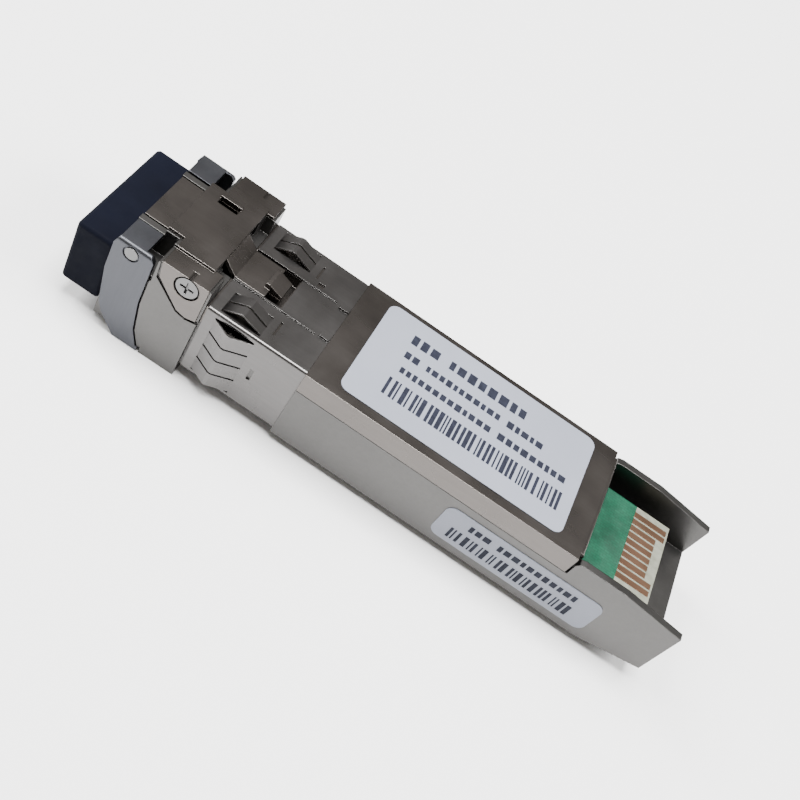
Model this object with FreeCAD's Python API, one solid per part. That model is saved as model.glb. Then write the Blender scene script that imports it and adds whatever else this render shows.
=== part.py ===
"""Pluggable optical transceiver module, built as an assembly of separate pieces (millimetres).

Datum used while modelling: X = 0 at the rear tips beside the card edge and negative towards the nose,
Y = 0 on the centre plane, Z = 0 on the label face of the body, +Z out of the label face.
export() moves every piece so that the origin lies at the centre of the resting plane.
"""
import math
import FreeCAD, Part
import os

V = FreeCAD.Vector

# ---------------------------------------------------------------- driving sizes
# body
body_width = 13.4
body_height = 8.5
shoulder_to_rear = 45.0        # latch shoulder to rear tips
nose_front = 56.1              # rear tips to the metal nose front
nose_rear = 47.6               # rear tips to the step behind the nose
collar_rear = 38.0             # rear tips to the rear edge of the spring collar
cover_rear = 11.17             # rear tips to the rear edge of the label cover
nose_overhang = 0.15           # nose beyond each side face of the body
nose_drop = 0.9                # nose below the plain face of the body
nose_rise = 2.1                # nose above the label face
wall = 0.7                     # side walls and rear skirts
floor_wall = 0.8
roof_wall = 0.5
flange_depth = 2.2             # how far the cover reaches down the sides
flange_wall = 0.4
lip_start = 0.3                # lip that the cover flange closes over
lip_root = 0.5
lip_top_gap = 0.2
cover_lip = 0.42               # rolled lip behind the cover, between the skirts
cover_roll = 0.4               # radius it is rolled to
cover_hem = 0.45               # how far the lip's hem reaches under the cover
cover_hem_drop = 0.5
cover_joint = 0.5              # overlap of the cover's high and low parts

# clearances
seam_gap = 0.05
fit_gap = 0.02                 # snug pin or screw in its hole
running_gap = 0.04             # turning shaft in its bearing
touch_gap = 0.05               # pieces that slide past each other
swing_gap = 0.1                # moving piece past a fixed wall
relief = 0.05                  # small step between two cuts that would else share a face
through = 1.0                  # how far a cut runs past the face it opens

# optics
port_pitch = 6.25
axis_depth = 3.9               # optical axis below the label face
port_half_width = 2.35
port_latch_half_width = 1.7
port_ceiling = 1.55            # below the label face
port_body_floor = 6.25
port_latch_floor = 7.9
port_back = 47.9
ferrule_radius = 0.625
ferrule_gap = 0.0105
sleeve_wall = 0.275
sleeve_front = 53.0
nozzle_radius = 1.45
nozzle_front = 53.3
back_wall = 0.7
flange_radius = 2.25
flange_length = 0.6
can_body_radius = 1.95
can_body_length = 3.1
can_radius = 1.7
can_length = 2.0
lead_length = 0.3
lead_radius = 0.1
lead_offset = 0.7
clamp_length = 0.6
clamp_drop = 0.45              # clamp plate below the latch channel
flex_sheet = 0.12
flex_half_width = 1.4
flex_drop = 1.3
flex_landing = 1.8             # how far the flexible circuit lies on the board

# circuit board
board_thickness = 1.0
board_depth = 2.2              # label face to the board's near face
board_rear = 3.3
board_front = 38.8
board_side_gap = 0.1
edge_half_width = 4.55
edge_length = 8.3
pad_pitch = 0.8
pad_count = 10
ground_pads = 2                # long pads at each side of a row
pad_width = 0.6
pad_thickness = 0.03
pad_front = 6.9
pad_setback = 0.95
ground_pad_setback = 0.2
post_length = 2.0
post_places = (36.5, 24.5, 13.6)
post_gap = 0.45                # board's narrow edge to the posts

# what stands on the board: place from the rear tips, place across, side, height
driver_place = (32.0, 0.0, 3.6, 0.85)
amplifier_place = (27.0, 2.4, 3.0, 0.85)
controller_place = (19.5, -0.8, 6.0, 0.9)
regulator_place = (27.5, -3.2, 2.2, 0.9)
thermal_pad_side = 3.2
thermal_pad_height = 0.8
pedestal_side = 4.0
inductor_size = (2.0, 1.6, 1.2)
inductor_place = 16.0
inductor_pitch = 3.5
capacitor_size = (1.0, 0.5, 0.5)
capacitor_first = 34.5
capacitor_pitch = 2.2
capacitor_count = 6
capacitor_row = 4.2
resistor_size = (0.6, 0.3, 0.25)
resistor_first = 33.4
resistor_pitch = 1.7
resistor_count = 7
resistor_row = 2.0

# rear mouth
skirt_front = 10.95
skirt_top = 0.35
skirt_corner = 0.7
skirt_overlap = 0.5
mouth_floor = 5.15
taper_length = 6.0
top_taper = 0.85
bottom_taper = 1.2

# spring collar
collar_sheet = 0.15
collar_inset = 0.2
collar_floor_lift = 0.1
collar_bend = 0.3              # rounded long corners of the collar
collar_front = 47.4
finger_front = 46.5
finger_crest = 44.8
finger_crest_half = 0.15
finger_rear = 42.8
finger_overlap = 0.2
finger_rise = 0.8
finger_slit = 0.2
top_finger_rise = 0.75
bottom_finger_rise = 0.65
top_finger_inner = 3.6         # plain sheet from the latch channel to here
top_finger_count = 2
bottom_finger_count = 6
side_finger_count = 4
corner_rail = 0.35             # plain strip left along each corner of the collar
rib_rear = 39.4
rib_inset = 0.05
rib_width = 0.2
rib_height = 0.12
tab_front = 1.0                # ahead of the collar's rear edge
tab_length = 0.95
tab_width = 0.55
tab_inner = 1.75
tab_height = 0.22
slot_rear = 41.7
slot_length = 0.35
slot_top = 3.4
slot_height = 1.35
top_slot_rear = 41.9
top_slot_length = 0.2
top_slot_inner = 3.3
top_slot_width = 1.7
dimple_rear = 41.0
dimple_length = 0.6
dimple_inner = 2.6
dimple_width = 0.5

# bail and latch
pivot_from_rear = 54.65
pivot_height = 0.45
axle_radius = 0.4
axle_end_radius = 0.6
axle_end_inset = 0.2
lobe_offset = 0.38
lobe_half_width = 0.6
lobe_drop = 0.02
arm_sheet = 0.5
arm_overhang = 0.05            # bail arms beyond the nose sides
arm_rise = 0.9                 # top of the arms above the pivot
arm_fold = 0.35                # radius where an arm folds into its cheek
arm_foot = 3.35                # rear end of the arms' feet behind the pivot
# corners of an arm seen from the side: place behind the pivot, then height above it
arm_front_edge = ((-1.35, arm_rise), (-1.65, 0.2), (-1.65, -2.95))
arm_rear_edge = ((2.0, -4.45), (1.95, 0.45), (1.55, arm_rise))
# corners of its foot: place behind the pivot, then height above the resting plane
arm_foot_front = ((-1.15, 3.0), (-0.65, 1.9), (0.95, 0.05))
arm_foot_rear = ((arm_foot, 0.05), (2.45, 2.2))
arm_gap = 0.15                 # rear edge of an arm to the nose
bar_length = 2.0
bar_thickness = 0.5
bar_lift = 0.05                # crossbar above the plane the nose rests on
bar_end_gap = 0.25
cheek_front = 56.0
cheek_rear = 53.65
cheek_gap = 0.15               # folded cheek to the bearing wall
cheek_pocket = 1.4             # pocket below the pivot
cheek_swing = 2.25             # pocket behind the pivot
plate_half_width = 3.0
plate_thickness = 0.35
bearing_wall = 0.65
rocker_pivot_from_rear = 50.4
rocker_pivot_height = 0.72
rocker_pin_radius = 0.35
knuckle_wall = 0.22
pin_seat = 0.4                 # how far the rocker pin enters the side blocks
paddle_rear = 49.2
lever_bend = 48.8
lever_foot = 47.4
lever_under_shift = 0.2        # underside bends ahead of the top side
tongue_half_width = 2.0
tongue_top = -0.05
tongue_end = 44.5
boss_half_width = 1.05
boss_height = 0.45
boss_crest = 0.35
boss_length = 1.7
release_angle = 6.0            # degrees the rocker turns to let go
channel_half_width = 2.2
channel_end = 42.9
channel_floor = 1.35
channel_wall = 0.3
lobe_well = 0.5                # well under the cam lobe, below the label face
lobe_well_front = 0.35
well_gap = 0.15
leaf_sheet = 0.12
leaf_half_width = 1.2
leaf_front = 49.95
leaf_rise_from = 49.6
leaf_rise_to = 49.35
leaf_rear = 49.1
leaf_lean = 0.1

# nose shroud and its screws
shroud_sheet = 0.3
shroud_front = 53.6
shroud_rear = 48.5
shroud_step = 0.25
shroud_shelf = 2.05            # width of the lower side strips, from the nose side
shroud_throat = 0.2            # narrow front part inside the outside of the bearing walls
wing_front = 52.1
wing_rear = 47.8
wing_sheet = 0.2
wing_lean = 0.2
wing_corner = 1.7              # front corner of a wing, down from its top
wing_slope = 2.5               # sloping lower edge of a wing, behind its front
wing_drop = 2.25               # end of that slope below the front corner
wing_belly = 0.2
wing_rear_corner = 0.9
wing_rear_lift = 0.25
wing_groove = 0.22             # open groove round a wing
wing_sink = 0.2                # wing let into the nose side
bridge_front = 52.3
bridge_length = 2.1
bridge_inner = 2.6
bridge_width = 0.4
bridge_rise = 0.25
slot_inset = 0.1
slot_width = 0.65
screw_from_rear = 49.55
screw_height = 0.69
screw_head_radius = 1.0
screw_head_height = 0.5
screw_shank_radius = 0.6
screw_length = 1.9
screw_ring = 0.16              # open ring round a screw head
screw_sink = 0.05
cross_length = 0.62
cross_width = 0.11
cross_depth = 0.25

# dust plug
plug_length = 3.65             # head in front of the nose
plug_inset = 0.6               # head inside the nose sides
plug_top = 0.55
plug_lift = 2.0                # underside of the head above the plane the nose rests on
plug_edge = 0.4
prong_rear = 49.9
prong_half = 2.2
prong_root = 0.6
prong_bore_gap = 0.2
prong_end_gap = 0.4

# labels
label_thickness = 0.08
label_corner = 0.9
main_label_front = 35.4
main_label_rear = 13.4
main_label_margin = 0.6        # label to the far edge of the cover
main_label_near_margin = 1.0
side_label_front = 22.1
side_label_rear = 6.2
side_label_top = 3.2
side_label_height = 4.3

# ---------------------------------------------------------------- derived places
half_body = body_width / 2
half_nose = half_body + nose_overhang
half_collar = half_body - collar_inset
half_core = half_collar - collar_sheet
core_inner = half_core - wall - relief
core_top = -collar_inset
core_bottom = -body_height + collar_inset + collar_sheet + collar_floor_lift
nose_bottom = -body_height - nose_drop
side_top = nose_rise - shroud_sheet - shroud_step
arm_outer = half_nose + arm_overhang
arm_inner = arm_outer - arm_sheet
arm_top = pivot_height + arm_rise
nose_core_half = arm_inner - swing_gap
bar_bottom = nose_bottom + bar_lift
bar_top = bar_bottom + bar_thickness
plate_low = pivot_height + axle_radius + touch_gap
plate_top = plate_low + plate_thickness
bearing_inner = plate_half_width + well_gap
bearing_outer = bearing_inner + bearing_wall
cheek_inner = bearing_outer + cheek_gap
knuckle_radius = rocker_pin_radius + knuckle_wall
trough_floor = rocker_pivot_height - knuckle_radius - touch_gap
shroud_centre_half = half_nose - shroud_shelf
wing_outer = half_nose + wing_sheet - wing_sink
overall_length = nose_front + touch_gap + plug_length
port_centre = port_pitch / 2
pivot_x = -pivot_from_rear
rocker_x = -rocker_pivot_from_rear
optics_start = -port_back + back_wall + flange_length
can_end = optics_start + can_body_length + can_length
board_half_width = core_inner - board_side_gap
board_top = -board_depth
board_under = board_top - board_thickness
cavity_floor = -body_height + floor_wall
screw_seat = wing_outer - screw_sink - screw_head_height
thermal_pad_low = board_under - driver_place[3] - thermal_pad_height
SIDES = (-1, 1)

os.makedirs("parts", exist_ok=True)


# ---------------------------------------------------------------- helpers
def box(x0, x1, y0, y1, z0, z1):
    return Part.makeBox(x1 - x0, y1 - y0, z1 - z0, V(x0, y0, z0))


def slab(x0, x1, half_y, z0, z1):
    """Box centred on the mid plane."""
    return box(x0, x1, -half_y, half_y, z0, z1)


def mirrored(shape):
    return shape.mirror(V(0, 0, 0), V(0, 1, 0))


def pair(shape):
    """The piece and its mirror image, fused where they meet."""
    return shape.fuse(mirrored(shape))


def rod_x(x0, x1, radius, y=0.0, z=0.0):
    return Part.makeCylinder(radius, x1 - x0, V(x0, y, z), V(1, 0, 0))


def rod_y(y0, y1, radius, x=0.0, z=0.0):
    return Part.makeCylinder(radius, y1 - y0, V(x, y0, z), V(0, 1, 0))


def profile_xz(points, y0, y1):
    """Side-view outline of (x, z) points, extruded along Y."""
    loop = [V(x, y0, z) for x, z in points]
    face = Part.Face(Part.makePolygon(loop + loop[:1]))
    return face.extrude(V(0, y1 - y0, 0))


def union(shapes):
    shapes = list(shapes)
    return shapes[0].multiFuse(shapes[1:]).removeSplitter() if len(shapes) > 1 else shapes[0]


def rounded_plate(x0, x1, y0, y1, z0, z1, radius):
    plate = box(x0, x1, y0, y1, z0, z1)
    corners = [e for e in plate.Edges if abs(e.Vertexes[0].Z - e.Vertexes[-1].Z) > (z1 - z0) / 2]
    return plate.makeFillet(radius, corners)


def export(name, shape):
    shape = shape.copy()
    shape.translate(V(overall_length / 2, 0, -nose_bottom))
    shape.exportStep("parts/" + name + ".step")
    print(name, "solids", len(shape.Solids), "volume", round(shape.Volume, 3), "valid", shape.isValid())


# ---------------------------------------------------------------- die-cast base with nose block
def arm_rear(gap):
    """Rear edge of a bail arm in side view, from the foot up, moved back by gap."""
    foot = [(pivot_x + x + gap, nose_bottom + z) for x, z in arm_foot_rear]
    return foot + [(pivot_x + x + gap, pivot_height + z) for x, z in arm_rear_edge]


def arm_outline():
    front = [(pivot_x + x, pivot_height + z) for x, z in arm_front_edge]
    toe = [(pivot_x + x, nose_bottom + z) for x, z in arm_foot_front]
    return front + toe + arm_rear(0)


def wing_outline(gap, top):
    """Side view of a shroud wing; gap widens it for the groove it lies in."""
    front = -wing_front - gap
    corner = side_top + shroud_sheet - wing_corner - gap
    slope_end = corner - wing_drop
    return [
        (front, top), (front + wing_lean, corner), (-wing_front + wing_slope, slope_end),
        (-wing_rear - wing_rear_corner, slope_end - wing_belly),
        (-wing_rear + gap, slope_end - wing_belly + wing_rear_lift), (-wing_rear + gap, top),
    ]


def nose_block():
    high = nose_rise + through
    front = -nose_front - through
    block = slab(-nose_front, -nose_rear, half_nose, nose_bottom, side_top)
    centre_half = shroud_centre_half - shroud_sheet
    block = block.fuse(slab(-nose_front, -nose_rear, centre_half, 0, nose_rise - shroud_sheet))
    bar_rear = pivot_x + arm_foot + bar_end_gap
    block = block.cut(slab(-nose_front, bar_rear, half_nose, nose_bottom, bar_top + swing_gap))
    rear_edge = arm_rear(arm_gap)[:4]
    recess = [(front, high), (front, nose_bottom - through), (rear_edge[0][0], nose_bottom - through)]
    recess += rear_edge + [(rear_edge[3][0], high)]
    block = block.cut(pair(profile_xz(recess, nose_core_half, half_nose + through)))
    # pockets that the folded cheeks of the bail turn in
    pocket_floor = pivot_height - cheek_pocket
    pocket_rear = pivot_x + cheek_swing
    block = block.cut(pair(box(front, pocket_rear, bearing_outer, half_nose + through, pocket_floor, high)))
    # well for the release plate and the cam lobe, with the two bearing walls left beside it
    block = block.cut(slab(front, -shroud_front, bearing_inner, plate_low - well_gap, high))
    block = block.cut(slab(-nose_front + lobe_well_front, -shroud_front, bearing_inner, -lobe_well, high))
    bearing_top = box(front, -shroud_front, bearing_inner, bearing_outer + swing_gap, plate_top, high)
    block = block.cut(pair(bearing_top))
    trough_half = bearing_inner + relief
    block = block.cut(slab(-shroud_front - relief, -nose_rear + through, trough_half, trough_floor, high))
    block = block.cut(slab(-paddle_rear, -nose_rear + through, channel_half_width, -channel_floor, high))
    block = block.cut(rod_y(-half_nose, half_nose, axle_radius + running_gap, pivot_x, pivot_height))
    pin_reach = bearing_outer + pin_seat
    block = block.cut(rod_y(-pin_reach, pin_reach, rocker_pin_radius + fit_gap, rocker_x, rocker_pivot_height))
    # open notch behind the shroud's raised centre
    block = block.cut(slab(-shroud_rear, -nose_rear, centre_half, core_top, high))
    groove = wing_outline(wing_groove, high)
    block = block.cut(pair(profile_xz(groove, half_nose - wing_sink, half_nose + through)))
    for side in SIDES:
        block = block.cut(screw_hole(side))
        block = block.cut(port(side))
    return block


def port(side):
    """Fibre port: plug body, latch slot below it and the hole for the optical nozzle."""
    y = side * port_centre
    front = -nose_front - through
    body = box(front, -port_back, y - port_half_width, y + port_half_width,
               -port_body_floor, -port_ceiling)
    latch = box(front, -port_back, y - port_latch_half_width, y + port_latch_half_width,
                -port_latch_floor, -port_body_floor)
    return union([body, latch, nozzle_hole(side)])


def nozzle_hole(side):
    return rod_x(-port_back - swing_gap, -port_back + back_wall + swing_gap, nozzle_radius + fit_gap,
                 side * port_centre, -axis_depth)


def screw_hole(side):
    tip = half_nose - screw_length - swing_gap
    shank = rod_y(tip, half_nose, screw_shank_radius + fit_gap, -screw_from_rear, screw_height)
    head_radius = screw_head_radius + screw_ring
    head = rod_y(screw_seat, half_nose + through, head_radius, -screw_from_rear, screw_height)
    hole = shank.fuse(head)
    return hole if side > 0 else mirrored(hole)


def rear_outline():
    """Side view of a rear skirt, tapered above and below towards its tip."""
    top = -skirt_top
    joint = -skirt_front - skirt_overlap
    return [
        (joint, -flange_depth - seam_gap), (-skirt_front, -flange_depth - seam_gap),
        (-skirt_front, top - skirt_corner * 0.7),
        (-skirt_front + skirt_corner * 0.3, top - skirt_corner * 0.2),
        (-skirt_front + skirt_corner, top), (-taper_length, top), (0, top - top_taper),
        (0, -body_height + bottom_taper), (-taper_length, -body_height), (joint, -body_height),
    ]


def base_housing():
    core = slab(-nose_rear, -collar_rear, half_core, core_bottom, -flange_depth)
    body = slab(-collar_rear, -skirt_front, half_body, -body_height, -flange_depth - seam_gap)
    mouth = profile_xz(rear_outline(), -half_body, half_body)
    shell = union([core, body, mouth])
    half_cavity = half_body - wall
    core_floor = core_bottom + floor_wall
    shell = shell.cut(slab(-port_back + back_wall, -collar_rear + relief, core_inner, core_floor, 0))
    shell = shell.cut(slab(-collar_rear, -skirt_front, half_cavity, cavity_floor, 0))
    shell = shell.cut(slab(-skirt_front - relief, through, half_cavity, -mouth_floor, 0))
    lip_outer = half_body - flange_wall - seam_gap
    lip = pair(box(-collar_rear + lip_start, -skirt_front, half_cavity - relief, lip_outer,
                   -flange_depth - lip_root, -roof_wall - lip_top_gap))
    posts = [pair(box(-x, -x + post_length, edge_half_width + post_gap, half_cavity, cavity_floor, board_under))
             for x in post_places]
    half_side = pedestal_side / 2
    chip_x = -driver_place[0]
    pedestal = slab(chip_x - half_side, chip_x + half_side, half_side, cavity_floor, thermal_pad_low)
    shell = union([shell, lip, pedestal] + posts)
    shell = union([shell, nose_block()])
    for side in SIDES:
        shell = shell.cut(nozzle_hole(side))
    return shell


# ---------------------------------------------------------------- label-side cover
def label_cover():
    below = -flange_depth - through
    main = slab(-collar_rear, -cover_rear, half_body, -flange_depth, 0)
    main = main.cut(slab(-collar_rear, -cover_rear, half_body - flange_wall, below, -roof_wall))
    lip_rear = -cover_rear + cover_lip
    lip = slab(-cover_rear - cover_hem, lip_rear, half_body - wall - swing_gap, -roof_wall - cover_hem_drop, 0)
    rolled = [e for e in lip.Edges if e.BoundBox.XMin > lip_rear - relief and e.BoundBox.ZMin > -relief]
    main = main.fuse(lip.makeFillet(cover_roll, rolled))
    underside = core_top - roof_wall
    core = slab(-nose_rear, -collar_rear + cover_joint, half_core, -flange_depth, core_top)
    core = core.cut(slab(-nose_rear + flange_wall, -collar_rear + through, core_inner, below, underside))
    core = core.cut(pair(box(-collar_rear, -collar_rear + through, core_inner, half_body, below, underside)))
    trough = slab(-nose_rear, -channel_end + channel_wall, channel_half_width + channel_wall,
                  -channel_floor - channel_wall, core_top)
    core = core.fuse(trough)
    core = core.cut(slab(-nose_rear - through, -channel_end, channel_half_width, -channel_floor, through))
    core = core.cut(slab(-collar_rear, 0, half_body, below, underside))
    for side in SIDES:
        core = core.cut(nozzle_hole(side))
    return union([main, core])


# ---------------------------------------------------------------- spring collar
def finger_outline(rise):
    """Bent strip seen from the side, with flat ends and a raised crest, from the sheet's outer face."""
    outer = [
        (-finger_front - finger_overlap, 0), (-finger_front, 0), (-finger_crest - finger_crest_half, rise),
        (-finger_crest + finger_crest_half, rise), (-finger_rear, 0), (-finger_rear + finger_overlap, 0),
    ]
    inner = [(x, h - collar_sheet) for x, h in reversed(outer)]
    return outer + inner


def top_finger(y0, y1):
    points = [(x, h + core_top + collar_sheet) for x, h in finger_outline(top_finger_rise)]
    return profile_xz(points, y0, y1)


def bottom_finger(y0, y1):
    points = [(x, core_bottom - collar_sheet - h) for x, h in finger_outline(bottom_finger_rise)]
    return profile_xz(points, y0, y1)


def side_finger(z0, z1):
    """One finger on the +Y side, standing between two heights."""
    loop = [V(x, half_collar + h, z0) for x, h in finger_outline(finger_rise)]
    face = Part.Face(Part.makePolygon(loop + loop[:1]))
    return face.extrude(V(0, 0, z1 - z0))


def strips(start, end, count):
    """Equal fingers with a slit between neighbours."""
    pitch = (end - start + finger_slit) / count
    return [(start + i * pitch, start + i * pitch + pitch - finger_slit) for i in range(count)]


def emi_collar():
    top = core_top + collar_sheet
    bottom = core_bottom - collar_sheet
    high = top + through
    low = bottom - through

    def ring(x0, x1):
        outer = slab(x0, x1, half_collar, bottom, top)
        long_edges = [e for e in outer.Edges if e.Length > x1 - x0 - relief and e.BoundBox.YLength < relief
                      and e.BoundBox.ZLength < relief]
        return outer.makeFillet(collar_bend, long_edges).cut(slab(x0, x1, half_core, core_bottom, core_top))

    front = ring(-collar_front, -finger_front)
    front = front.cut(slab(-collar_front, -finger_front, channel_half_width, core_top, high))
    rear = ring(-finger_rear, -collar_rear)
    rails = ring(-finger_front, -finger_rear)
    rails = rails.cut(slab(-finger_front, -finger_rear, half_core - corner_rail, low, high))
    rails = rails.cut(slab(-finger_front, -finger_rear, half_collar, core_bottom + corner_rail,
                           core_top - corner_rail))
    plain = box(-finger_front, -finger_rear, channel_half_width, top_finger_inner - finger_slit, core_top, top)
    pieces = [front, rear, rails, pair(plain)]
    margin = corner_rail + finger_slit
    for y0, y1 in strips(top_finger_inner, half_core - margin, top_finger_count):
        pieces.append(pair(top_finger(y0, y1)))
    for y0, y1 in strips(-half_core + margin, half_core - margin, bottom_finger_count):
        pieces.append(bottom_finger(y0, y1))
    for z0, z1 in strips(core_bottom + margin, core_top - margin, side_finger_count):
        pieces.append(pair(side_finger(z0, z1)))
    # low ribs that run back from the latch channel, and two hooked tabs at the rear edge
    rib_inner = channel_half_width - rib_inset
    rib = box(-collar_front, -rib_rear, rib_inner, rib_inner + rib_width, core_top, top + rib_height)
    tab_x = -collar_rear - tab_front
    tab = box(tab_x, tab_x + tab_length, tab_inner, tab_inner + tab_width, core_top, top + tab_height)
    pieces += [pair(rib), pair(tab)]
    collar = union(pieces)
    slot = pair(box(-slot_rear - slot_length, -slot_rear, half_core, half_collar,
                    -slot_top - slot_height, -slot_top))
    dimple = box(-dimple_rear - dimple_length, -dimple_rear, dimple_inner, dimple_inner + dimple_width,
                 core_top, top)
    top_slot = pair(box(-top_slot_rear - top_slot_length, -top_slot_rear, top_slot_inner,
                        top_slot_inner + top_slot_width, core_top, top))
    return collar.cut(slot).cut(dimple).cut(top_slot)


# ---------------------------------------------------------------- nose shroud and screws
def nose_shroud():
    top = nose_rise
    strip_top = side_top + shroud_sheet
    inner = shroud_centre_half - shroud_sheet
    centre = slab(-shroud_front, -wing_front, bearing_outer - shroud_throat, top - shroud_sheet, top)
    centre = centre.fuse(slab(-wing_front, -shroud_rear, shroud_centre_half, top - shroud_sheet, top))
    strip = pair(box(-wing_front, -wing_rear, inner, wing_outer, side_top, strip_top))
    riser = pair(box(-wing_front, -shroud_rear, inner, shroud_centre_half, side_top, top))
    wings = pair(profile_xz(wing_outline(0, strip_top), half_nose - wing_sink, wing_outer))
    bridge_rear = -bridge_front + bridge_length
    bridge = box(-bridge_front, bridge_rear, bridge_inner, bridge_inner + bridge_width,
                 top - relief, top + bridge_rise)
    slot = box(-bridge_front + slot_inset, bridge_rear - slot_inset, bridge_inner - slot_width, bridge_inner,
               top - through, top + through)
    shroud = union([centre, strip, riser, wings, bridge]).cut(slot)
    hole = rod_y(half_nose - through, half_nose + through, screw_head_radius + screw_ring,
                 -screw_from_rear, screw_height)
    return shroud.cut(hole).cut(mirrored(hole))


def shroud_screw():
    face = wing_outer - screw_sink
    head = rod_y(screw_seat, face, screw_head_radius, -screw_from_rear, screw_height)
    shank = rod_y(half_nose - screw_length, screw_seat, screw_shank_radius, -screw_from_rear, screw_height)
    screw = head.fuse(shank)
    for long_x, long_z in ((cross_length, cross_width), (cross_width, cross_length)):
        screw = screw.cut(box(-screw_from_rear - long_x, -screw_from_rear + long_x, face - cross_depth, face,
                              screw_height - long_z, screw_height + long_z))
    return screw


# ---------------------------------------------------------------- bail, axle and release lever
def bail():
    arm = profile_xz(arm_outline(), arm_inner, arm_outer)
    arm = arm.fuse(box(-cheek_front, -cheek_rear, cheek_inner, arm_inner, arm_top - arm_sheet, arm_top))
    top_edge = [e for e in arm.Edges
                if e.BoundBox.YMin > arm_outer - 0.01 and e.BoundBox.ZMin > arm_top - 0.01]
    arm = arm.makeFillet(arm_fold, top_edge)
    arm = arm.cut(rod_y(arm_inner, arm_outer, axle_radius + fit_gap, pivot_x, pivot_height))
    end_recess = axle_end_radius + well_gap
    arm = arm.cut(rod_y(arm_outer - axle_end_inset, arm_outer, end_recess, pivot_x, pivot_height))
    crossbar = slab(pivot_x + arm_foot - bar_length, pivot_x + arm_foot, arm_outer, bar_bottom, bar_top)
    return union([arm, mirrored(arm), crossbar])


def bail_cam_axle():
    seat = arm_outer - axle_end_inset
    axle = rod_y(-seat, seat, axle_radius, pivot_x, pivot_height)
    ends = pair(rod_y(seat, arm_outer - fit_gap, axle_end_radius, pivot_x, pivot_height))
    lobe_x = pivot_x - lobe_offset
    lobe = rod_y(-lobe_half_width, lobe_half_width, axle_radius, lobe_x, pivot_height - lobe_drop)
    web = slab(lobe_x, pivot_x, lobe_half_width, pivot_height - axle_radius,
               pivot_height + axle_radius - 2 * lobe_drop)
    return union([axle, ends, lobe, web])


def latch_rocker():
    tongue_low = tongue_top - plate_thickness
    lever = [
        (-cheek_front, plate_low), (-cheek_front, plate_top), (-lever_bend, plate_top),
        (-lever_foot, tongue_top),
        (-tongue_end, tongue_top), (-tongue_end, tongue_low), (-lever_foot - lever_under_shift, tongue_low),
        (-lever_bend - lever_under_shift, plate_low),
    ]
    lever_body = profile_xz(lever, -tongue_half_width, tongue_half_width)
    paddle = slab(-cheek_front, -paddle_rear, plate_half_width, plate_low, plate_top)
    shoulder = -shoulder_to_rear
    boss_end = shoulder + boss_length
    wedge = [(shoulder, tongue_low), (shoulder, boss_height), (shoulder + boss_crest, boss_height),
             (boss_end, tongue_top), (boss_end, tongue_low)]
    boss = profile_xz(wedge, -boss_half_width, boss_half_width)
    knuckle = rod_y(-plate_half_width, plate_half_width, knuckle_radius, rocker_x, rocker_pivot_height)
    knuckle = knuckle.cut(slab(rocker_x - through, rocker_x + through, plate_half_width, plate_top, nose_rise))
    rocker = union([lever_body, paddle, boss, knuckle])
    return rocker.cut(rod_y(-plate_half_width, plate_half_width, rocker_pin_radius + running_gap,
                            rocker_x, rocker_pivot_height))


def rocker_pin():
    reach = bearing_outer + pin_seat - relief
    return rod_y(-reach, reach, rocker_pin_radius, rocker_x, rocker_pivot_height)


def latch_spring():
    """Bent leaf on the well floor, low enough at its rear end for the lever to sink above it."""
    sink = (rocker_pivot_from_rear - leaf_rear) * math.tan(math.radians(release_angle))
    crest = plate_low - touch_gap - sink
    leaf = [
        (-leaf_front, trough_floor), (-leaf_front, trough_floor + leaf_sheet),
        (-leaf_rise_from, trough_floor + leaf_sheet), (-leaf_rise_to, crest), (-leaf_rear, crest),
        (-leaf_rear, crest - leaf_sheet), (-leaf_rise_to + leaf_lean, crest - leaf_sheet),
        (-leaf_rise_from + leaf_lean, trough_floor),
    ]
    return profile_xz(leaf, -leaf_half_width, leaf_half_width)


# ---------------------------------------------------------------- optics
def ferrule_sleeve(side):
    y = side * port_centre
    inner = ferrule_radius + ferrule_gap
    tube = rod_x(-sleeve_front, -port_back, inner + sleeve_wall, y, -axis_depth)
    return tube.cut(rod_x(-sleeve_front, -port_back, inner, y, -axis_depth))


def optical_nozzle(side):
    y = side * port_centre
    flange_front = -port_back + back_wall
    tube = rod_x(-nozzle_front, flange_front, nozzle_radius, y, -axis_depth)
    flange = rod_x(flange_front, optics_start, flange_radius, y, -axis_depth)
    bore_radius = ferrule_radius + ferrule_gap + sleeve_wall + fit_gap
    bore = rod_x(-nozzle_front, -port_back, bore_radius, y, -axis_depth)
    return tube.fuse(flange).cut(bore)


def optical_body(side):
    return rod_x(optics_start, optics_start + can_body_length, can_body_radius, side * port_centre, -axis_depth)


def optical_can(side):
    y = side * port_centre
    can = rod_x(can_end - can_length, can_end, can_radius, y, -axis_depth)
    for dy in (-lead_offset, lead_offset):
        for dz in (-lead_offset, lead_offset):
            can = can.fuse(rod_x(can_end, can_end + lead_length, lead_radius, y + dy, -axis_depth + dz))
    return can


def optical_flex(side):
    """Bent flexible circuit from the leads onto the board."""
    front = can_end + lead_length
    low = -axis_depth - flex_drop
    rear = -board_front + flex_landing
    strip = [
        (front, low), (front, board_top + flex_sheet), (rear, board_top + flex_sheet), (rear, board_top),
        (front + flex_sheet, board_top), (front + flex_sheet, low),
    ]
    y = side * port_centre
    return profile_xz(strip, y - flex_half_width, y + flex_half_width)


def optics_clamp():
    plate = slab(optics_start, optics_start + clamp_length, core_inner - relief, core_bottom + floor_wall,
                 -channel_floor - clamp_drop)
    for side in SIDES:
        plate = plate.cut(rod_x(optics_start, optics_start + clamp_length, can_body_radius + touch_gap,
                                side * port_centre, -axis_depth))
    return plate


# ---------------------------------------------------------------- circuit board and what is on it
def circuit_board():
    step = -board_rear - edge_length
    wide = slab(-board_front, step, board_half_width, board_under, board_top)
    return union([wide, slab(step, -board_rear, edge_half_width, board_under, board_top)])


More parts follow.
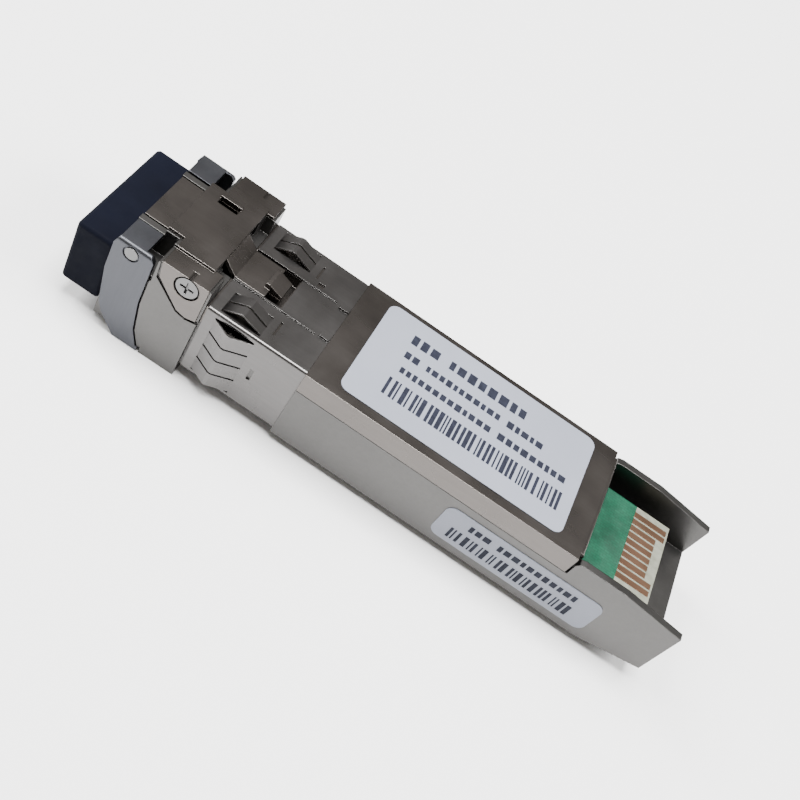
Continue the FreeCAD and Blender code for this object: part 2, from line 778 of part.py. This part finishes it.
def contact_row(z0, z1):
    """Gold pads; the outer ones at each side reach nearer the edge because they mate first."""
    row = []
    for i in range(pad_count):
        y = (i - (pad_count - 1) / 2) * pad_pitch
        outer = i < ground_pads or i >= pad_count - ground_pads
        setback = ground_pad_setback if outer else pad_setback
        row.append(box(-pad_front, -board_rear - setback, y - pad_width / 2, y + pad_width / 2, z0, z1))
    return Part.makeCompound(row)


def chip(place):
    """Square package on the plain side of the board."""
    from_rear, y, side, height = place
    half = side / 2
    return box(-from_rear - half, -from_rear + half, y - half, y + half, board_under - height, board_under)


def thermal_pad():
    half = thermal_pad_side / 2
    x = -driver_place[0]
    return slab(x - half, x + half, half, thermal_pad_low, thermal_pad_low + thermal_pad_height)


def small_parts(places, size):
    """Identical parts standing on the label side of the board."""
    length, width, height = size
    return Part.makeCompound([box(x - length / 2, x + length / 2, y - width / 2, y + width / 2,
                                  board_top, board_top + height) for x, y in places])


def double_row(first, pitch, count, row):
    return [(-first + pitch * i, y) for i in range(count) for y in (-row, row)]


# ---------------------------------------------------------------- dust plug
def dust_plug():
    rear = -nose_front - touch_gap
    plug = slab(rear - plug_length, rear, half_nose - plug_inset, nose_bottom + plug_lift, -plug_top)
    plug = plug.makeFillet(plug_edge, plug.Edges)
    bore_radius = nozzle_radius + prong_bore_gap
    for side in SIDES:
        y = side * port_centre
        prong = box(rear - prong_root, -prong_rear, y - prong_half, y + prong_half,
                    -axis_depth - prong_half, -axis_depth + prong_half)
        prong = prong.cut(rod_x(-nozzle_front - prong_end_gap, -prong_rear, bore_radius, y, -axis_depth))
        plug = plug.fuse(prong)
    return plug


# ---------------------------------------------------------------- labels
def main_label():
    return rounded_plate(-main_label_front, -main_label_rear, -half_body + main_label_near_margin,
                         half_body - main_label_margin, 0, label_thickness, label_corner)


def side_label():
    plate = rounded_plate(-side_label_front, -side_label_rear, -side_label_top - side_label_height,
                          -side_label_top, 0, label_thickness, label_corner)
    plate.rotate(V(0, 0, 0), V(1, 0, 0), 90)
    plate.translate(V(0, -half_body, 0))
    return plate


# ---------------------------------------------------------------- write every piece
export("base_housing", base_housing())
export("label_cover", label_cover())
export("emi_collar", emi_collar())
export("nose_shroud", nose_shroud())
export("shroud_screws", Part.makeCompound([shroud_screw(), mirrored(shroud_screw())]))
export("bail", bail())
export("bail_cam_axle", bail_cam_axle())
export("latch_rocker", latch_rocker())
export("rocker_pin", rocker_pin())
export("latch_spring", latch_spring())
export("dust_plug", dust_plug())
for channel, side in (("transmit", -1), ("receive", 1)):
    export(channel + "_ferrule_sleeve", ferrule_sleeve(side))
    export(channel + "_nozzle", optical_nozzle(side))
    export(channel + "_optical_body", optical_body(side))
    export(channel + "_can", optical_can(side))
    export(channel + "_flex", optical_flex(side))
export("optics_clamp", optics_clamp())
export("circuit_board", circuit_board())
export("contacts_label_side", contact_row(board_top, board_top + pad_thickness))
export("contacts_plain_side", contact_row(board_under - pad_thickness, board_under))
export("laser_driver_chip", chip(driver_place))
export("driver_thermal_pad", thermal_pad())
export("receiver_amplifier_chip", chip(amplifier_place))
export("controller_chip", chip(controller_place))
export("power_regulator_chip", chip(regulator_place))
inductor_places = [(-inductor_place, inductor_pitch * i) for i in (-1, 0, 1)]
export("inductors", small_parts(inductor_places, inductor_size))
capacitor_places = double_row(capacitor_first, capacitor_pitch, capacitor_count, capacitor_row)
export("capacitors", small_parts(capacitor_places, capacitor_size))
resistor_places = double_row(resistor_first, resistor_pitch, resistor_count, resistor_row)
export("resistors", small_parts(resistor_places, resistor_size))
export("main_label", main_label())
export("side_label", side_label())
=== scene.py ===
"""Looks of the pluggable optical transceiver: finishes, printing, lights, floor and camera."""
import math
import random

import bmesh
import bpy
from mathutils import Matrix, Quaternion, Vector


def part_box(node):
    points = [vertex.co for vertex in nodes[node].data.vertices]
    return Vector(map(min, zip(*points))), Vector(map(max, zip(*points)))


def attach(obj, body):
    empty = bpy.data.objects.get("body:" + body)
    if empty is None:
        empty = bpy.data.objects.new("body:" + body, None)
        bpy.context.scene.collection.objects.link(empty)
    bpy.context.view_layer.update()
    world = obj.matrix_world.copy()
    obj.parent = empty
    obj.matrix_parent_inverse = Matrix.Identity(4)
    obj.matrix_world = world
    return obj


MM = 0.001

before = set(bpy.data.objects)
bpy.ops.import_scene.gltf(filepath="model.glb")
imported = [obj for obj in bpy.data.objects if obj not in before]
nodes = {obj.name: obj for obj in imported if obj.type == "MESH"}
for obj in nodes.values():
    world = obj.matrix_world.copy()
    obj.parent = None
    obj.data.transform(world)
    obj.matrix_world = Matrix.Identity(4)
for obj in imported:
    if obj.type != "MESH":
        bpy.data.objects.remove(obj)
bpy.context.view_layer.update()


# ---------------------------------------------------------------- node helpers
class Shader:
    """A material under construction: its tree, its Principled shader and short ways to add nodes."""

    def __init__(self, name):
        self.material = bpy.data.materials.new(name)
        self.material.use_nodes = True
        self.tree = self.material.node_tree
        self.surface = self.tree.nodes["Principled BSDF"]
        self.place = self.add("ShaderNodeTexCoord").outputs["Object"]

    def add(self, kind, **settings):
        node = self.tree.nodes.new(kind)
        for key, value in settings.items():
            setattr(node, key, value)
        return node

    def link(self, output, target):
        self.tree.links.new(output, target)

    def stretched(self, factors):
        mapping = self.add("ShaderNodeMapping")
        mapping.inputs["Scale"].default_value = factors
        self.link(self.place, mapping.inputs["Vector"])
        return mapping.outputs["Vector"]

    def noise(self, scale, detail=4.0, roughness=0.55, vector=None):
        node = self.add("ShaderNodeTexNoise")
        node.inputs["Scale"].default_value = scale
        node.inputs["Detail"].default_value = detail
        node.inputs["Roughness"].default_value = roughness
        self.link(vector or self.place, node.inputs["Vector"])
        return node.outputs["Fac"]

    def ramp(self, source, stops):
        node = self.add("ShaderNodeValToRGB")
        elements = node.color_ramp.elements
        while len(elements) < len(stops):
            elements.new(0.5)
        for element, (place, colour) in zip(elements, stops):
            element.position = place
            element.color = (*colour, 1.0)
        self.link(source, node.inputs["Fac"])
        return node.outputs["Color"]

    def spread(self, source, low, high, start=0.0, end=1.0):
        node = self.add("ShaderNodeMapRange")
        for name, value in (("From Min", start), ("From Max", end), ("To Min", low), ("To Max", high)):
            node.inputs[name].default_value = value
        self.link(source, node.inputs["Value"])
        return node.outputs["Result"]

    def mix(self, factor, first, second, mode="MIX"):
        node = self.add("ShaderNodeMix", data_type="RGBA", blend_type=mode)
        for value, target in ((factor, node.inputs[0]), (first, node.inputs[6]), (second, node.inputs[7])):
            if hasattr(value, "links"):
                self.link(value, target)
            else:
                target.default_value = value if isinstance(value, float) else (*value, 1.0)
        return node.outputs[2]

    def bump(self, height, strength, distance, soft_edge=0.0):
        node = self.add("ShaderNodeBump")
        node.inputs["Strength"].default_value = strength
        node.inputs["Distance"].default_value = distance
        self.link(height, node.inputs["Height"])
        if soft_edge:
            edge = self.add("ShaderNodeBevel", samples=8)
            edge.inputs["Radius"].default_value = soft_edge
            self.link(edge.outputs["Normal"], node.inputs["Normal"])
        self.link(node.outputs["Normal"], self.surface.inputs["Normal"])

    def set(self, **values):
        for key, value in values.items():
            socket = self.surface.inputs[key.replace("_", " ")]
            if hasattr(value, "links"):
                self.link(value, socket)
            else:
                socket.default_value = (*value, 1.0) if isinstance(value, tuple) else value


def plated_metal(name, dark, light, rough, grain=(1.0, 1.0, 1.0), edge=0.09 * MM, pitted=0.35):
    """Nickel-plated metal: cloudy tone, fine grain along one direction, small pits and softened edges."""
    s = Shader(name)
    cloud = s.noise(110.0, 3.0, 0.5)
    streak = s.noise(2600.0, 3.0, 0.7, s.stretched(grain))
    tone = s.ramp(cloud, [(0.25, dark), (0.75, light)])
    s.set(Base_Color=s.mix(0.3, tone, s.ramp(streak, [(0.35, dark), (0.65, light)])), Metallic=1.0)
    smudge = s.noise(240.0, 3.0, 0.5)
    s.set(Roughness=s.spread(smudge, rough - 0.03, rough + 0.05, 0.3, 0.7))
    fine = s.mix(0.4, streak, s.noise(5200.0, 2.0, 0.5))
    s.bump(fine, pitted, 0.012 * MM, edge)
    return s.material


def moulded(name, dark, light, rough, grain=3200.0, depth=0.02 * MM, edge=0.12 * MM, specular=0.4):
    """Moulded plastic or rubber with a fine matt texture and faint flow marks."""
    s = Shader(name)
    flow = s.noise(150.0, 5.0, 0.6, s.stretched((0.4, 1.0, 1.0)))
    s.set(Base_Color=s.ramp(flow, [(0.3, dark), (0.7, light)]), Specular_IOR_Level=specular)
    s.set(Roughness=s.spread(s.noise(700.0, 4.0), rough - 0.06, rough + 0.08, 0.3, 0.7))
    s.bump(s.noise(grain, 3.0, 0.6), 0.3, depth, edge)
    return s.material


def label_film():
    """Silver-white polyester film with a faint sheen and slight waviness."""
    s = Shader("label_film")
    tone = s.ramp(s.noise(90.0, 4.0), [(0.3, (0.190, 0.203, 0.243)), (0.7, (0.212, 0.226, 0.266))])
    s.set(Base_Color=tone, Roughness=s.spread(s.noise(900.0), 0.42, 0.55, 0.3, 0.7), Specular_IOR_Level=0.3)
    s.bump(s.noise(260.0, 3.0), 0.25, 0.03 * MM, 0.05 * MM)
    return s.material


def ink():
    s = Shader("label_ink")
    tone = s.ramp(s.noise(2400.0, 3.0), [(0.3, (0.010, 0.011, 0.018)), (0.7, (0.018, 0.020, 0.031))])
    s.set(Base_Color=tone, Roughness=0.6, Specular_IOR_Level=0.08)
    s.bump(s.noise(4000.0), 0.1, 0.01 * MM)
    return s.material


def board_mask(bare_from):
    """Green solder mask with a fine woven texture and cloudy tone; the card edge behind bare_from shows
    pale laminate.
    """
    s = Shader("board_mask")
    weave = s.add("ShaderNodeTexBrick", offset=0.5, squash=1.0)
    weave.inputs["Scale"].default_value = 900.0
    weave.inputs["Mortar Size"].default_value = 0.03
    weave.inputs["Color1"].default_value = (0.0015, 0.058, 0.029, 1.0)
    weave.inputs["Color2"].default_value = (0.002, 0.074, 0.037, 1.0)
    weave.inputs["Mortar"].default_value = (0.001, 0.044, 0.022, 1.0)
    s.link(s.place, weave.inputs["Vector"])
    cloud = s.ramp(s.noise(300.0, 4.0), [(0.35, (0.6, 0.6, 0.6)), (0.65, (1.0, 1.0, 1.0))])
    mask = s.mix(1.0, weave.outputs["Color"], cloud, "MULTIPLY")
    split = s.add("ShaderNodeSeparateXYZ")
    s.link(s.place, split.inputs[0])
    bare = s.spread(split.outputs["X"], 0.0, 1.0, bare_from, bare_from + 0.05 * MM)
    laminate = s.ramp(s.noise(1500.0, 4.0), [(0.3, (0.120, 0.125, 0.095)), (0.7, (0.185, 0.190, 0.155))])
    s.set(Base_Color=s.mix(bare, mask, laminate), Roughness=s.spread(s.noise(500.0), 0.28, 0.45, 0.3, 0.7))
    s.bump(weave.outputs["Fac"], 0.15, 0.01 * MM, 0.05 * MM)
    return s.material


def ceramic(name, dark, light):
    s = Shader(name)
    s.set(Base_Color=s.ramp(s.noise(1200.0), [(0.3, dark), (0.7, light)]))
    s.set(Roughness=s.spread(s.noise(900.0), 0.2, 0.35, 0.3, 0.7))
    s.bump(s.noise(3000.0), 0.15, 0.01 * MM, 0.04 * MM)
    return s.material


# ---------------------------------------------------------------- finishes of the CAD nodes
GRAIN_ALONG_X = (0.08, 1.0, 1.0)
GRAIN_ALONG_Z = (1.0, 1.0, 0.1)
THIN_EDGE = 0.03 * MM
bare_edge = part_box("contacts_label_side")[0].x


def grey(value):
    return (value, value, value)


FINISHES = [
    (plated_metal("cast_nickel", (0.077, 0.075, 0.073), (0.093, 0.091, 0.088), 0.33, pitted=0.2),
     ["base_housing"]),
    (plated_metal("sheet_nickel", (0.100, 0.091, 0.085), (0.120, 0.110, 0.103), 0.27, GRAIN_ALONG_X),
     ["label_cover", "nose_shroud", "latch_rocker"]),
    (plated_metal("spring_sheet", (0.100, 0.096, 0.094), (0.122, 0.118, 0.116), 0.29, GRAIN_ALONG_X,
                  THIN_EDGE),
     ["emi_collar", "latch_spring"]),
    (plated_metal("bail_plate", (0.057, 0.059, 0.066), (0.071, 0.073, 0.081), 0.36, GRAIN_ALONG_Z),
     ["bail"]),
    (plated_metal("pin_steel", grey(0.11), grey(0.15), 0.28),
     ["shroud_screws", "rocker_pin", "bail_cam_axle"]),
    (plated_metal("turned_steel", grey(0.36), grey(0.46), 0.24),
     ["optics_clamp", "transmit_nozzle", "receive_nozzle", "transmit_optical_body",
      "receive_optical_body"]),
    (plated_metal("gold_plate", (0.16, 0.088, 0.056), (0.22, 0.135, 0.088), 0.36, GRAIN_ALONG_X,
                  THIN_EDGE),
     ["contacts_label_side", "contacts_plain_side", "transmit_can", "receive_can"]),
    (moulded("plug_rubber", (0.0014, 0.0018, 0.0045), (0.0028, 0.0036, 0.0082), 0.7, specular=0.05),
     ["dust_plug"]),
    (label_film(), ["main_label", "side_label"]),
    (board_mask(bare_edge), ["circuit_board"]),
    (ceramic("zirconia", (0.82, 0.82, 0.79), (0.93, 0.93, 0.91)),
     ["transmit_ferrule_sleeve", "receive_ferrule_sleeve"]),
    (moulded("polyimide", (0.34, 0.13, 0.02), (0.52, 0.22, 0.04), 0.3, specular=0.5),
     ["transmit_flex", "receive_flex"]),
    (moulded("chip_resin", (0.016, 0.016, 0.018), (0.03, 0.03, 0.033), 0.5),
     ["laser_driver_chip", "receiver_amplifier_chip", "controller_chip", "power_regulator_chip",
      "inductors"]),
    (moulded("gap_filler", (0.22, 0.27, 0.42), (0.30, 0.36, 0.52), 0.7), ["driver_thermal_pad"]),
    (ceramic("capacitor_body", (0.30, 0.20, 0.12), (0.42, 0.30, 0.18)), ["capacitors"]),
    (ceramic("resistor_body", (0.02, 0.02, 0.022), (0.05, 0.05, 0.055)), ["resistors"]),
]

for material, names in FINISHES:
    for name in names:
        mesh = nodes[name].data
        mesh.materials.clear()
        mesh.materials.append(material)


# ---------------------------------------------------------------- printing on the labels
INK_LIFT = 0.012 * MM
BAR_WIDTHS = (0.15, 0.15, 0.28, 0.28, 0.42)
BAR_GAPS = (0.16, 0.16, 0.26, 0.36)
# Blocks, as shares of their line's height; the last gap is the one between groups.
BLOCK_WIDTHS = (0.35, 0.7)
BLOCK_HEIGHTS = (0.7, 0.7, 0.8)
BLOCK_GAPS = (0.22, 0.22, 0.22, 0.22, 0.8)

INK = ink()


def patch(build, centre, right, up, width, height):
    """One flat ink mark: a thin quad in the plane of right and up."""
    corners = [centre + right * (sx * width / 2) + up * (sy * height / 2)
               for sx, sy in ((-1, -1), (1, -1), (1, 1), (-1, 1))]
    build.faces.new([build.verts.new(c) for c in corners])


def printed(name, marks, origin, right, up):
    """Ink marks, each (x, y, width, height) in millimetres from origin, as one piece on the label."""
    build = bmesh.new()
    for x, y, width, height in marks:
        patch(build, origin + right * (x * MM) + up * (y * MM), right, up, width * MM, height * MM)
    mesh = bpy.data.meshes.new(name)
    build.to_mesh(mesh)
    build.free()
    piece = bpy.data.objects.new(name, mesh)
    bpy.context.scene.collection.objects.link(piece)
    mesh.materials.append(INK)
    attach(piece, "module_body")
    return piece


def bars(start, end, y, height, seed):
    """Upright bars of uneven width and spacing, which carry no code."""
    chance = random.Random(seed)
    marks = []
    x = start
    while x < end:
        width = chance.choice(BAR_WIDTHS)
        marks.append((x + width / 2, y, width, height))
        x += width + chance.choice(BAR_GAPS)
    return marks


def dashes(start, end, y, height, seed):
    """A line of plain blocks in the place of words, with gaps between groups."""
    chance = random.Random(seed)
    marks = []
    x = start
    while x < end:
        width = chance.uniform(*BLOCK_WIDTHS) * height
        marks.append((x + width / 2, y, width, height * chance.choice(BLOCK_HEIGHTS)))
        x += width + height * chance.choice(BLOCK_GAPS)
    return marks


def rows(table):
    return [mark for draw, *row in table for mark in draw(*row)]


# Each row in millimetres on its label: kind, start, end, middle height, height of the marks, seed.
MAIN_ROWS = [
    (dashes, 3.2, 14.6, 9.4, 1.45, 3),
    (dashes, 3.3, 17.6, 7.35, 1.0, 5),
    (dashes, 3.6, 21.0, 5.5, 1.0, 8),
    (bars, 3.2, 20.8, 3.1, 2.1, 11),
]
SIDE_ROWS = [
    (dashes, 2.6, 13.4, 3.15, 1.0, 21),
    (bars, 1.4, 13.9, 1.35, 1.45, 23),
]

label_low, label_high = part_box("main_label")
label_origin = Vector((label_low.x, label_low.y, label_high.z + INK_LIFT))
printed("main_label_print", rows(MAIN_ROWS), label_origin, Vector((1, 0, 0)), Vector((0, 1, 0)))

side_low, side_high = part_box("side_label")
side_origin = Vector((side_low.x, side_low.y - INK_LIFT, side_low.z))
printed("side_label_print", rows(SIDE_ROWS), side_origin, Vector((1, 0, 0)), Vector((0, 0, 1)))


# ---------------------------------------------------------------- floor, light and camera
FLOOR_REACH = 1.5
WORLD_COLOUR = (0.42, 0.40, 0.38, 1.0)
# Square lamps aimed at the origin: name, place in metres, watts, side in metres.
LAMPS = [
    ("key", (-0.65, 0.10, 0.50), 13.0, 0.4),
    ("fill", (0.65, 0.05, 0.50), 9.0, 0.4),
    ("overhead", (0.0, 0.02, 0.90), 24.0, 0.5),
]
LENS_MM = 50.38
SENSOR_MM = 36.0
CAMERA_PLACE = Vector((-6.35, -66.74, 76.35)) * MM
CAMERA_AIM = Vector((-0.18, 1.07, 5.0)) * MM
CAMERA_ROLL = math.radians(37.96)


def stage_floor():
    mesh = bpy.data.meshes.new("floor")
    corners = [(sx * FLOOR_REACH, sy * FLOOR_REACH, 0) for sx, sy in ((-1, -1), (1, -1), (1, 1), (-1, 1))]
    mesh.from_pydata(corners, [], [(0, 1, 2, 3)])
    floor = bpy.data.objects.new("floor", mesh)
    bpy.context.scene.collection.objects.link(floor)
    s = Shader("floor_paper")
    tone = s.ramp(s.noise(12.0), [(0.3, grey(0.86)), (0.7, grey(0.88))])
    s.set(Base_Color=tone, Roughness=0.85)
    mesh.materials.append(s.material)


def softbox(name, place, power, size):
    light = bpy.data.lights.new(name, "AREA")
    light.shape = "SQUARE"
    light.size = size
    light.energy = power
    lamp = bpy.data.objects.new(name, light)
    bpy.context.scene.collection.objects.link(lamp)
    lamp.location = place
    lamp.rotation_mode = "QUATERNION"
    lamp.rotation_quaternion = (-Vector(place)).to_track_quat("-Z", "Y")


def studio():
    world = bpy.data.worlds.new("studio")
    world.use_nodes = True
    world.node_tree.nodes["Background"].inputs["Color"].default_value = WORLD_COLOUR
    world.node_tree.nodes["Background"].inputs["Strength"].default_value = 1.0
    bpy.context.scene.world = world
    for lamp in LAMPS:
        softbox(*lamp)


def set_camera():
    camera = bpy.data.cameras.new("camera")
    camera.lens = LENS_MM
    camera.sensor_width = SENSOR_MM
    camera.clip_start = 0.005
    camera.clip_end = 10.0
    holder = bpy.data.objects.new("camera", camera)
    bpy.context.scene.collection.objects.link(holder)
    holder.location = CAMERA_PLACE
    holder.rotation_mode = "QUATERNION"
    level = (CAMERA_AIM - CAMERA_PLACE).to_track_quat("-Z", "Y")
    holder.rotation_quaternion = level @ Quaternion((0, 0, 1), CAMERA_ROLL)
    bpy.context.scene.camera = holder


stage_floor()
studio()
set_camera()
